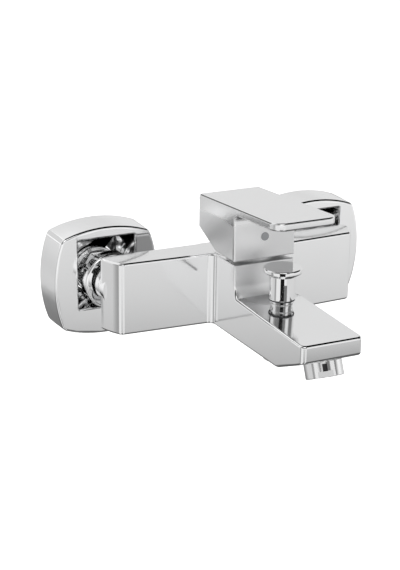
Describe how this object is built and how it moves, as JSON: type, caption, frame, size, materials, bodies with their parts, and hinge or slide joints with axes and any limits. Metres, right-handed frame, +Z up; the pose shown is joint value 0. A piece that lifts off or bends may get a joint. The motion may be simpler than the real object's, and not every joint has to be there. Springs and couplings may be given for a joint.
{
  "type": "wall mounted bath faucet",
  "caption": "Chromed single lever wall bath mixer with square escutcheons, flat spout, pull-up diverter knob, aerator and a threaded shower outlet below.",
  "frame": {"origin": "midway between the axes of the two wall inlets, on the wall's surface", "axes": "+X to the right along the wall seen from the room, +Y into the wall, +Z up; the spout points along -Y"},
  "size_m": [0.221, 0.1949, 0.0968],
  "materials": {
    "chrome": "mirror polished chrome plate",
    "plated_brass": "satin plated",
    "brass": "machined",
    "steel": "fine machined",
    "rubber": "matte",
    "ceramic": "lapped",
    "white_plastic": "moulded",
    "black_plastic": "moulded",
    "index_plastic": "gloss"
  },
  "bodies": {
    "body": {"valve_body": "chrome", "left_escutcheon": "chrome", "right_escutcheon": "chrome", "left_eccentric_union": "plated_brass", "right_eccentric_union": "plated_brass", "left_inlet_nipple": "plated_brass", "right_inlet_nipple": "plated_brass", "left_sealing_washer": "rubber", "right_sealing_washer": "rubber", "left_filter_screen": "steel", "right_filter_screen": "steel", "cartridge_housing": "white_plastic", "cartridge_base": "white_plastic", "cartridge_port_seals": "rubber", "fixed_ceramic_disc": "ceramic", "cartridge_lock_nut": "brass", "cover_ring": "chrome", "diverter_bushing": "chrome", "diverter_stem_seal": "rubber", "shower_outlet_nipple": "chrome", "shower_outlet_seal": "rubber", "aerator_housing": "chrome", "aerator_insert": "black_plastic", "aerator_screen": "steel", "aerator_gasket": "rubber"},
    "turn_group": {"cartridge_turret": "white_plastic", "stem_pivot_pin": "steel"},
    "lever_group": {"cartridge_stem": "steel", "lever_handle": "chrome", "lever_set_screw": "steel", "index_plug": "index_plastic"},
    "disc_group": {"moving_ceramic_disc": "ceramic", "disc_carrier": "white_plastic"},
    "diverter_group": {"diverter_knob": "chrome", "diverter_stem": "steel", "diverter_plunger": "white_plastic", "diverter_washers": "rubber", "diverter_spring": "steel"},
    "left_nut_group": {"left_union_nut": "chrome"},
    "right_nut_group": {"right_union_nut": "chrome"}
  },
  "joints": [
    {"name": "temperature_turn", "type": "hinge", "parent": "body", "child": "turn_group", "pos_m": [0, -0.068, 0.01795], "axis": [0, 0, 1], "range_deg": [-45, 45]},
    {"name": "flow_lift", "type": "hinge", "parent": "turn_group", "child": "lever_group", "pos_m": [0, -0.068, 0.01795], "axis": [-1, 0, 0], "range_deg": [0, 23]},
    {"name": "disc_slide", "type": "slide", "parent": "turn_group", "child": "disc_group", "axis": [0, -1, 0], "range_m": [0, 0.0034]},
    {"name": "diverter_pull", "type": "slide", "parent": "body", "child": "diverter_group", "axis": [0, 0, 1], "range_m": [0, 0.0065], "stiffness_N_per_m": 60, "springref_m": -0.004, "deforming": ["diverter_spring"]},
    {"name": "left_nut_turn", "type": "hinge", "parent": "body", "child": "left_nut_group", "pos_m": [-0.075, -0.027, 0.005], "axis": [0, 1, 0], "continuous": true},
    {"name": "right_nut_turn", "type": "hinge", "parent": "body", "child": "right_nut_group", "pos_m": [0.075, -0.027, 0.005], "axis": [0, 1, 0], "continuous": true}
  ],
  "couplings": [
    {"joint": "disc_slide", "follows": "flow_lift", "m_per_rad": 0.0082}
  ]
}
